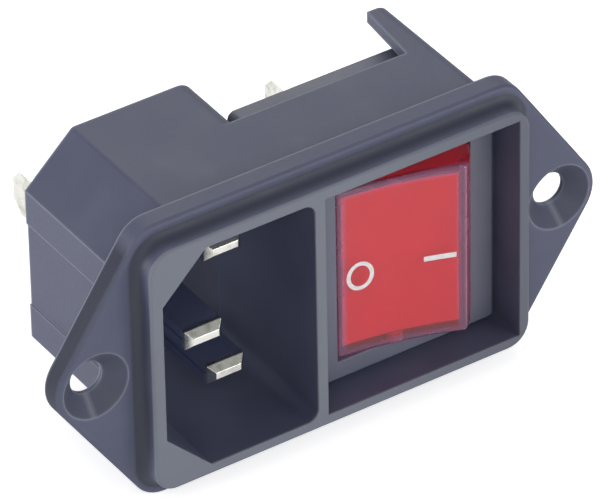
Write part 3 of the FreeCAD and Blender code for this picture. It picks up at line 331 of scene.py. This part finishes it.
# Painted shade in the countersinks; a lighter weld line runs down from each hole.
in_sink = both(tree, remap(tree, radius, SINK_RADIUS + SLACK, SINK_RADIUS - SINK_FADE),
               above(tree, SINK_REAR, depth))
colour = blend(tree, both(tree, in_sink, SINK_SHARE), colour, SINK_PAINTED_SHADE)
off_weld = compute(tree, "ABSOLUTE", compute(tree, "SUBTRACT", from_hole, both(tree, level, WELD_LEAN)))
weld = both(tree, remap(tree, off_weld, WELD_HALF, 0.0), above(tree, 0.0, height))
colour = blend(tree, both(tree, in_sink, weld), colour, WELD_COLOUR)

# Painted shade on the ears' outer edges between the flange's front and rear; these edges are also
# rougher.
shaded_ear_edge = both(tree, remap(tree, depth, FLANGE_FRONT, FLANGE_FRONT + EDGE_FRONT_FADE),
               remap(tree, depth, 0, -EDGE_REAR_FADE))
on_ear = remap(tree, compute(tree, "ABSOLUTE", across), EAR_START, EAR_START + EAR_FADE)
shaded_ear_edge = both(tree, both(tree, shaded_ear_edge, on_ear), above(tree, radius, SINK_RADIUS + SLACK))
colour = blend(tree, shaded_ear_edge, colour, EAR_EDGE_PAINTED_SHADE)

outside = compute(tree, "SUBTRACT", 1.0, in_hollow)
# Painted shade in the cove between the flange's front and the rim, outside the hollows.
shaded_cove = both(tree, remap(tree, depth, FLANGE_FRONT, COVE_REAR),
               remap(tree, depth, COVE_FRONT, COVE_MIDDLE))
colour = blend(tree, both(tree, shaded_cove, outside), colour, COVE_PAINTED_SHADE)
# Painted highlight: lighter along sharp edges found with a Bevel node, outside the hollows.
edge_highlight = both(tree, both(tree, sharp_edges(tree, EDGE_HIGHLIGHT_RADIUS), outside), EDGE_HIGHLIGHT_SHARE)
colour = blend(tree, edge_highlight, colour, EDGE_PAINTED_HIGHLIGHT)

# Painted highlight on the rim's front, fading from left to right.
on_rim = remap(tree, depth, RIM_FRONT + RIM_EDGE, RIM_FRONT + RIM_EDGE * 0.5)
rim_highlight = blend(tree, remap(tree, across, RIM_TURN, RECESS_RIGHT), RIM_HIGHLIGHT_LEFT, RIM_HIGHLIGHT_RIGHT)
tree.links.new(blend(tree, on_rim, colour, rim_highlight), shader.inputs["Base Color"])
rough = compute(tree, "ADD", skin.outputs["Roughness"], both(tree, shaded_ear_edge, EDGE_ROUGH))
tree.links.new(rough, shader.inputs["Roughness"])
shader.inputs["IOR"].default_value = NYLON_IOR
soft_edges(tree, shader, skin.outputs["Height"], NYLON_RELIEF, EDGE_RADIUS)
finish_node("housing", nylon)

# Rear plate. A flat black plate of the same nylon, pressed into the back of the shell behind
# the blades' shoulders. It comes from its own small mould, so its grain is a little coarser.


def moulding(name, colour, cloud, roughness, relief, edge=0.0, ior=1.5, **scales):
    """A moulded plastic that is alike all over, with its grain's relief in metres."""
    material, tree, shader = new_material(name)
    skin = place_group(tree, MOULDED_GRAIN, Colour=colour, Cloud_Colour=cloud, Roughness=roughness,
                       **scales)
    tree.links.new(skin.outputs["Colour"], shader.inputs["Base Color"])
    tree.links.new(skin.outputs["Roughness"], shader.inputs["Roughness"])
    shader.inputs["IOR"].default_value = ior
    soft_edges(tree, shader, skin.outputs["Height"], relief, edge)
    return material


finish_node("rear_plate", moulding("plate nylon", NYLON, NYLON_CLOUD, 0.52, 0.008 * MM, EDGE_RADIUS,
                                   Grain_Scale=3800.0, Cloud_Scale=260.0))

# Inlet blades and switch terminals. Brass strip, folded or bent and stamped in a press tool, then
# nickel plated. Rolling leaves fine lines along each strip. The blades' shanks in the cavity have
# painted shade, darker and bluer than their tips, and are rougher.


def rolled_lines():
    """Fine lines along the strip, which runs front to rear, with broad faint stains."""
    tree, entry, result = new_group(
        "rolled lines",
        {"Colour": ("Color", (0.7, 0.7, 0.66, 1)), "Stain Colour": ("Color", (0.5, 0.49, 0.44, 1)),
         "Line Scale": ("Float", 1.0), "Roughness": ("Float", 0.25)},
        {"Colour": "Color", "Roughness": "Float", "Height": "Float"})
    place = object_place(tree, stretch=(9000, 350, 9000))
    lines = noise(tree, place, entry.outputs["Line Scale"], 2.0)
    stain = noise(tree, object_place(tree), 900, 3.0)
    tinted = blend(tree, remap(tree, stain, 0.45, 0.75), entry.outputs["Colour"],
                   entry.outputs["Stain Colour"])
    shift = remap(tree, lines, 0.3, 0.7, -0.03, 0.03)
    rough = compute(tree, "ADD", entry.outputs["Roughness"], shift)
    tree.links.new(tinted, result.inputs["Colour"])
    tree.links.new(rough, result.inputs["Roughness"])
    tree.links.new(lines, result.inputs["Height"])
    return tree


ROLLED_LINES = rolled_lines()


NICKEL = (0.82, 0.82, 0.77, 1)
NICKEL_STAIN = (0.52, 0.53, 0.44, 1)
NICKEL_ROUGH = 0.16
# Painted shade on the blades' shanks in the cavity.
SHANK_PAINTED_SHADE = (0.40, 0.45, 0.62, 1)
SHANK_ROUGH = 0.3
TIP_LENGTH = 0.75 * MM
SHANK_SHADE_FADE = 0.6 * MM
LINE_RELIEF = 0.0003 * MM
STRIP_EDGE = 0.1 * MM


def strip_metal(name, colour, stain, roughness, shank_start=None):
    """A bare or plated strip metal with rolling lines; rougher, with painted shade, in the cavity from
    shank_start on.
    """
    material, tree, shader = new_material(name)
    strip = place_group(tree, ROLLED_LINES, Colour=colour, Stain_Colour=stain, Roughness=roughness)
    tint = strip.outputs["Colour"]
    rough = strip.outputs["Roughness"]
    if shank_start is not None:
        along = axis_value(tree, object_place(tree), "Y")
        # Painted shade on the shanks in the cavity, darker and bluer than the tips.
        shaded_shank = both(tree, remap(tree, along, shank_start, shank_start + SHANK_SHADE_FADE),
                     above(tree, CAVITY_FLOOR + SLACK, along))
        tint = blend(tree, shaded_shank, tint, SHANK_PAINTED_SHADE)
        rough = compute(tree, "ADD", rough, both(tree, shaded_shank, SHANK_ROUGH))
    tree.links.new(tint, shader.inputs["Base Color"])
    tree.links.new(rough, shader.inputs["Roughness"])
    shader.inputs["Metallic"].default_value = 1.0
    soft_edges(tree, shader, strip.outputs["Height"], LINE_RELIEF, STRIP_EDGE)
    return material


nickel = strip_metal("nickel plate", NICKEL, NICKEL_STAIN, NICKEL_ROUGH)
for name in ("centre_terminal_upper", "centre_terminal_lower", "on_terminal_upper", "on_terminal_lower"):
    finish_node(name, nickel)

for name in ("line_pin", "neutral_pin", "earth_pin"):
    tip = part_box(name)[0][1]
    finish_node(name, strip_metal("nickel plate, " + name, NICKEL, NICKEL_STAIN, NICKEL_ROUGH,
                                  tip + TIP_LENGTH))

# Switch body. The snap-in switch's own case, moulded in black nylon with a thin bezel that lies
# in the recess. Its tool is finer than the housing's, so it shines a little more.
CASE_NYLON = (0.125, 0.134, 0.185, 1)
CASE_CLOUD = (0.140, 0.150, 0.205, 1)
FINE_RELIEF = 0.004 * MM
finish_node("switch_body", moulding("switch case nylon", CASE_NYLON, CASE_CLOUD, 0.45, FINE_RELIEF,
                                    EDGE_RADIUS, NYLON_IOR, Grain_Scale=6500.0))

# Contact blades. Two springy strips of bronze inside the switch, each rocking on the ridge of a
# centre terminal. The arcs of switching leave them browner than the plated parts.
BRONZE = (0.72, 0.44, 0.27, 1)
BURNT_BRONZE = (0.45, 0.26, 0.16, 1)
bronze = strip_metal("contact bronze", BRONZE, BURNT_BRONZE, 0.32)
finish_node("contact_blade_upper", bronze)
finish_node("contact_blade_lower", bronze)

# Contacts. Silver alloy buttons riveted to the blades and to the closed-side terminals, a little
# dull from use.
SILVER = (0.86, 0.85, 0.82, 1)
DULL_SILVER = (0.56, 0.54, 0.50, 1)
silver = strip_metal("contact silver", SILVER, DULL_SILVER, 0.34)
for name in ("moving_contact_upper", "moving_contact_lower", "fixed_contact_upper",
             "fixed_contact_lower"):
    finish_node(name, silver)

# Plungers and springs. Each plunger is a round-nosed pin of natural nylon, and its spring is wound
# from hard drawn steel wire. Both sit in a barrel of the rocker's inner body. In the real switch the
# spring gets shorter as its plunger is pushed in; here the coil is a merged copy of the spring,
# carried with the rocker.
NATURAL_NYLON = (0.70, 0.66, 0.56, 1)
NATURAL_CLOUD = (0.78, 0.75, 0.66, 1)
SPRING_STEEL = (0.56, 0.56, 0.55, 1)
SPRING_STAIN = (0.42, 0.41, 0.39, 1)
MERGE_REACH = 0.0005 * MM

natural_nylon = moulding("natural nylon", NATURAL_NYLON, NATURAL_CLOUD, 0.38, FINE_RELIEF,
                         Grain_Scale=4200.0, Cloud_Scale=500.0)
finish_node("plunger_upper", natural_nylon)
finish_node("plunger_lower", natural_nylon)

spring_steel = strip_metal("spring steel", SPRING_STEEL, SPRING_STAIN, 0.3)
for slide in frame["joints"]:
    if slide["type"] != "slide":
        continue
    spring = slide["deforming_nodes"][0]
    coil = bmesh.new()
    coil.from_mesh(frame["nodes"][spring["node"]].data)
    bmesh.ops.remove_doubles(coil, verts=coil.verts[:], dist=MERGE_REACH)
    coil_mesh = bpy.data.meshes.new(spring["node"].replace("spring", "coil"))
    coil.to_mesh(coil_mesh)
    coil.free()
    coil_mesh.materials.append(spring_steel)
    coil_piece = bpy.data.objects.new(coil_mesh.name, coil_mesh)
    bpy.context.collection.objects.link(coil_piece)
    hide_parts(spring["node"])
    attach(coil_piece, "rocker")
    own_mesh(coil_piece)

# Rocker carrier. The pale inner body of the rocker, moulded in white nylon. It carries the pivot
# pins, the barrels and the lamp, and it is what makes the red lens look bright.
WHITE_NYLON = (0.73, 0.72, 0.70, 1)
WHITE_CLOUD = (0.78, 0.77, 0.75, 1)
finish_node("rocker_carrier", moulding("white nylon", WHITE_NYLON, WHITE_CLOUD, 0.5, FINE_RELIEF,
                                       Grain_Scale=3000.0, Cloud_Scale=300.0))

# Lamp. A small glass neon bulb, its resistor and three tinned leads, all inside the rocker. The
# resistor has a pale enamel with four painted rings.
ROCKER_TILT = math.radians(14)
PIVOT = Vector((8.85 * MM, 2.25 * MM, 0))
ROCKER_TURN = (0, 0, ROCKER_TILT)
TURNED_PIVOT = Matrix.Rotation(ROCKER_TILT, 3, "Z") @ PIVOT
ENAMEL = (0.58, 0.47, 0.30, 1)
ENAMEL_CLOUD = (0.66, 0.55, 0.37, 1)
RING_COLOURS = ((0.30, 0.12, 0.04, 1), (0.02, 0.02, 0.02, 1),
                (0.85, 0.55, 0.02, 1), (0.62, 0.45, 0.14, 1))
RING_STEP = 0.75 * MM
RING_OUTSIDE = 0.18 * MM
RING_INSIDE = 0.15 * MM
TIN = (0.78, 0.78, 0.76, 1)
DULL_TIN = (0.60, 0.60, 0.57, 1)


def let_lamps_through(tree, shader, colour):
    """Mixes in a Transparent shader for rays from lamps, so that light reaches what is inside."""
    clear = tree.nodes.new("ShaderNodeBsdfTransparent")
    clear.inputs["Color"].default_value = colour
    path = tree.nodes.new("ShaderNodeLightPath")
    mix = tree.nodes.new("ShaderNodeMixShader")
    tree.links.new(path.outputs["Is Shadow Ray"], mix.inputs["Fac"])
    tree.links.new(shader.outputs["BSDF"], mix.inputs[1])
    tree.links.new(clear.outputs["BSDF"], mix.inputs[2])
    tree.links.new(mix.outputs["Shader"], tree.nodes["Material Output"].inputs["Surface"])


bulb_glass, tree, shader = new_material("bulb glass")
shader.inputs["Transmission Weight"].default_value = 1.0
shader.inputs["IOR"].default_value = 1.5
smudge = noise(tree, object_place(tree), 900, 3.0)
tree.links.new(remap(tree, smudge, 0.3, 0.8, 0.01, 0.12), shader.inputs["Roughness"])
tree.links.new(blend(tree, smudge, (0.93, 0.95, 0.94, 1), (1, 1, 1, 1)), shader.inputs["Base Color"])
let_lamps_through(tree, shader, (0.95, 0.96, 0.95, 1))
finish_node("neon_bulb", bulb_glass)

enamel, tree, shader = new_material("resistor enamel")
along = axis_value(tree, object_place(tree, turn=ROCKER_TURN), "X")
painted = blend(tree, noise(tree, object_place(tree), 1500, 2.0), ENAMEL, ENAMEL_CLOUD)
for count, ring in enumerate(RING_COLOURS):
    centre = TURNED_PIVOT.x + (count - 1.5) * RING_STEP
    away = compute(tree, "ABSOLUTE", compute(tree, "SUBTRACT", along, centre))
    painted = blend(tree, remap(tree, away, RING_OUTSIDE, RING_INSIDE), painted, ring)
tree.links.new(painted, shader.inputs["Base Color"])
shader.inputs["Roughness"].default_value = 0.3
finish_node("series_resistor", enamel)

tinned_wire = strip_metal("tinned wire", TIN, DULL_TIN, 0.3)
for name in ("lamp_lead_upper", "lamp_link", "lamp_lead_lower"):
    finish_node(name, tinned_wire)

# Rocker lens. A cap of clear red polycarbonate with a hollow face, snapped over the carrier. Its
# walls stand clear of the carrier; there, where nothing pale lies behind, the face's border is
# frosted and has a painted purple reflection.
LENS_RED = (0.80, 0.085, 0.125, 1)
LENS_CLOUD = (0.80, 0.10, 0.15, 1)
LENS_SHADOW = (0.98, 0.36, 0.41, 1)
LENS_CLEAR = 0.88
LENS_IOR = 1.58
# Painted reflection on the lens's border.
BORDER_PAINTED_REFLECTION = (0.66, 0.44, 0.86, 1)
BORDER_ROUGH = 0.12
BORDER_SIDE = 5.3 * MM
BORDER_END = 8.4 * MM
BORDER_FADE = 0.5 * MM
BORDER_DEEP = -4.2 * MM

red_lens, tree, shader = new_material("red lens")
shader.inputs["IOR"].default_value = LENS_IOR
shader.inputs["Transmission Weight"].default_value = LENS_CLEAR
own_place = object_place(tree, turn=ROCKER_TURN, shift=-TURNED_PIVOT)
beside = remap(tree, compute(tree, "ABSOLUTE", axis_value(tree, own_place, "X")),
               BORDER_SIDE, BORDER_SIDE + BORDER_FADE)
beyond = remap(tree, compute(tree, "ABSOLUTE", axis_value(tree, own_place, "Z")),
               BORDER_END, BORDER_END + BORDER_FADE)
border = both(tree, compute(tree, "MAXIMUM", beside, beyond),
              above(tree, BORDER_DEEP, axis_value(tree, own_place, "Y")))
haze = noise(tree, object_place(tree), 240, 3.0)
frosting = both(tree, border, BORDER_ROUGH)
tree.links.new(compute(tree, "ADD", remap(tree, haze, 0.3, 0.7, 0.10, 0.20), frosting),
               shader.inputs["Roughness"])
# The border's purple is a painted reflection; its frosting is the added roughness.
tree.links.new(blend(tree, border, blend(tree, haze, LENS_RED, LENS_CLOUD), BORDER_PAINTED_REFLECTION),
               shader.inputs["Base Color"])
ripple = noise(tree, object_place(tree), 700, 2.0)
soft_edges(tree, shader, ripple, FINE_RELIEF)
let_lamps_through(tree, shader, LENS_SHADOW)
finish_node("rocker_lens", red_lens)

# Marks on the rocker. A ring and a bar in white pad-printing ink, laid on the hollow face: the ring
# on the half that is pressed in when the switch is off, the bar on the other half.
FACE_RISE = 4.9 * MM
FACE_HOLLOW = 0.5 * MM
ROCKER_RADIUS = 7.98 * MM
face_reach = ROCKER_RADIUS ** 2 - FACE_RISE ** 2
FACE_RADIUS = (face_reach + FACE_HOLLOW ** 2) / (FACE_HOLLOW * 2)
INK_THICK = 0.02 * MM
INK_SUNK = 0.004 * MM
RING_CENTRE = -4.05 * MM
RING_LEVEL = -0.53 * MM
RING_WIDE = 2.8 * MM
RING_HIGH = 3.15 * MM
RING_STROKE = 0.42 * MM
BAR_CENTRE = 3.8 * MM
BAR_LEVEL = -0.4 * MM
BAR_LENGTH = 3.1 * MM
BAR_WIDTH = 0.55 * MM


def face_level(across):
    """The hollow face's depth behind the pivot, at a distance across from its middle."""
    return math.sqrt(FACE_RADIUS ** 2 - across ** 2) - FACE_RADIUS - FACE_RISE + FACE_HOLLOW


def lay_on_face(name, flat, ink):
    """Bends a flat print in X and Z onto the rocker's face, gives it its thickness and tilts it."""
    for vertex in flat.verts:
        vertex.co.y = face_level(vertex.co.x) + INK_SUNK
    front = bmesh.ops.extrude_face_region(flat, geom=flat.faces[:])
    raised = [item for item in front["geom"] if isinstance(item, bmesh.types.BMVert)]
    bmesh.ops.translate(flat, vec=(0, -INK_THICK, 0), verts=raised)
    bmesh.ops.recalc_face_normals(flat, faces=flat.faces[:])
    tilt = Matrix.Rotation(-ROCKER_TILT, 3, "Z")
    bmesh.ops.rotate(flat, cent=(0, 0, 0), matrix=tilt, verts=flat.verts[:])
    bmesh.ops.translate(flat, vec=PIVOT, verts=flat.verts[:])
    mesh = bpy.data.meshes.new(name)
    flat.to_mesh(mesh)
    flat.free()
    mesh.materials.append(ink)
    mark = bpy.data.objects.new(name, mesh)
    bpy.context.collection.objects.link(mark)
    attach(mark, "rocker")


white_ink, tree, shader = new_material("white ink")
cover = noise(tree, object_place(tree), 2600, 3.0)
tree.links.new(blend(tree, remap(tree, cover, 0.35, 0.6), (0.80, 0.72, 0.73, 1), (0.88, 0.87, 0.88, 1)),
               shader.inputs["Base Color"])
tree.links.new(remap(tree, cover, 0.3, 0.7, 0.38, 0.5), shader.inputs["Roughness"])
soft_edges(tree, shader, cover, 0.003 * MM)

UPRIGHT = Matrix.Rotation(math.radians(90), 3, "X")
ring = bmesh.new()
bmesh.ops.create_circle(ring, cap_ends=True, segments=64, radius=0.5)
bmesh.ops.scale(ring, vec=(RING_WIDE, RING_HIGH, 1), verts=ring.verts[:])
inset = bmesh.ops.inset_region(ring, faces=ring.faces[:], thickness=RING_STROKE, use_boundary=True,
                               use_even_offset=True)
inner = [face for face in ring.faces if face not in inset["faces"]]
bmesh.ops.delete(ring, geom=inner, context="FACES")
bmesh.ops.rotate(ring, cent=(0, 0, 0), matrix=UPRIGHT, verts=ring.verts[:])
bmesh.ops.translate(ring, vec=(RING_CENTRE, 0, RING_LEVEL), verts=ring.verts[:])
lay_on_face("off_mark", ring, white_ink)

bar = bmesh.new()
bmesh.ops.create_grid(bar, x_segments=12, y_segments=1, size=0.5)
bmesh.ops.scale(bar, vec=(BAR_LENGTH, BAR_WIDTH, 1), verts=bar.verts[:])
bmesh.ops.rotate(bar, cent=(0, 0, 0), matrix=UPRIGHT, verts=bar.verts[:])
bmesh.ops.translate(bar, vec=(BAR_CENTRE, 0, BAR_LEVEL), verts=bar.verts[:])
lay_on_face("on_mark", bar, white_ink)

# Table, room and lamps. A plain pale sheet under the module in a white room, with five soft lamps:
# left, above, behind, beside the camera and right. Nothing here belongs to the object.
TABLE_LEVEL = cad_box[0].z
TABLE_SIZE = 6.0
PAPER = (0.93, 0.93, 0.93, 1)
PAPER_CLOUD = (0.96, 0.96, 0.96, 1)
TABLE_GLOW = 0.6
MIRRORED_GLOW = 0.4

table_form = bmesh.new()
bmesh.ops.create_grid(table_form, x_segments=1, y_segments=1, size=TABLE_SIZE / 2)
bmesh.ops.translate(table_form, vec=(0, 0, TABLE_LEVEL), verts=table_form.verts[:])
table_mesh = bpy.data.meshes.new("table")
table_form.to_mesh(table_mesh)
table_form.free()
table = bpy.data.objects.new("table", table_mesh)
bpy.context.collection.objects.link(table)
pale_paper, tree, shader = new_material("pale paper")
fibres = noise(tree, object_place(tree), 900, 4.0)
tree.links.new(blend(tree, fibres, PAPER, PAPER_CLOUD), shader.inputs["Base Color"])
shader.inputs["Roughness"].default_value = 0.9
path = tree.nodes.new("ShaderNodeLightPath")
glow = compute(tree, "ADD", compute(tree, "MULTIPLY", path.outputs["Is Camera Ray"], TABLE_GLOW),
               compute(tree, "MULTIPLY", path.outputs["Is Glossy Ray"], MIRRORED_GLOW))
shader.inputs["Emission Color"].default_value = (1, 1, 1, 1)
tree.links.new(glow, shader.inputs["Emission Strength"])
table_mesh.materials.append(pale_paper)

ROOM_LIGHT = 0.28
MIRRORED_ROOM = 0.35

room = bpy.data.worlds.new("white room")
room.use_nodes = True
bpy.context.scene.world = room
tree = room.node_tree
backdrop = tree.nodes["Background"]
backdrop.inputs["Color"].default_value = (1, 1, 1, 1)
path = tree.nodes.new("ShaderNodeLightPath")
mirrored = compute(tree, "MULTIPLY", path.outputs["Is Glossy Ray"], MIRRORED_ROOM)
strength = compute(tree, "MAXIMUM", mirrored, path.outputs["Is Camera Ray"])
tree.links.new(compute(tree, "MAXIMUM", strength, ROOM_LIGHT), backdrop.inputs["Strength"])


def soft_lamp(name, place, size, power):
    """A square area lamp that faces the module."""
    light = bpy.data.lights.new(name, "AREA")
    light.shape = "SQUARE"
    light.size = size
    light.energy = power
    lamp = bpy.data.objects.new(name, light)
    lamp.location = place
    lamp.rotation_euler = (-Vector(place)).to_track_quat("-Z", "Y").to_euler()
    bpy.context.collection.objects.link(lamp)


soft_lamp("left rear lamp", (-0.66, 0.24, 0.02), 0.4, 4.2)
soft_lamp("top lamp", (0.05, 0.10, 0.75), 0.5, 0.6)
soft_lamp("rear lamp", (0.25, 0.55, 0.45), 0.5, 1.5)
soft_lamp("camera lamp", (-0.38, -0.60, 0.42), 0.5, 1.65)
soft_lamp("right lamp", (0.45, -0.65, 0.20), 0.5, 2.7)

# Camera. It looks at the module from the left, in front and above, from far enough away that the
# parallel edges stay almost parallel, as in the photograph.
CAMERA_PLACE = (-0.28524, -0.43605, 0.38382)
CAMERA_RIGHT = (0.83215, -0.55433, -0.01570)
CAMERA_UP = (0.33756, 0.48386, 0.80742)
CAMERA_BACK = (-0.43998, -0.67720, 0.58976)

lens = bpy.data.cameras.new("camera")
lens.sensor_width = 36.0
lens.lens = 423.1
lens.clip_start = 0.01
lens.clip_end = 50.0
camera = bpy.data.objects.new("camera", lens)
bpy.context.collection.objects.link(camera)
turned = Matrix((CAMERA_RIGHT, CAMERA_UP, CAMERA_BACK)).transposed()
camera.matrix_world = Matrix.Translation(CAMERA_PLACE) @ turned.to_4x4()
bpy.context.scene.camera = camera
bpy.context.scene.view_settings.view_transform = "Standard"
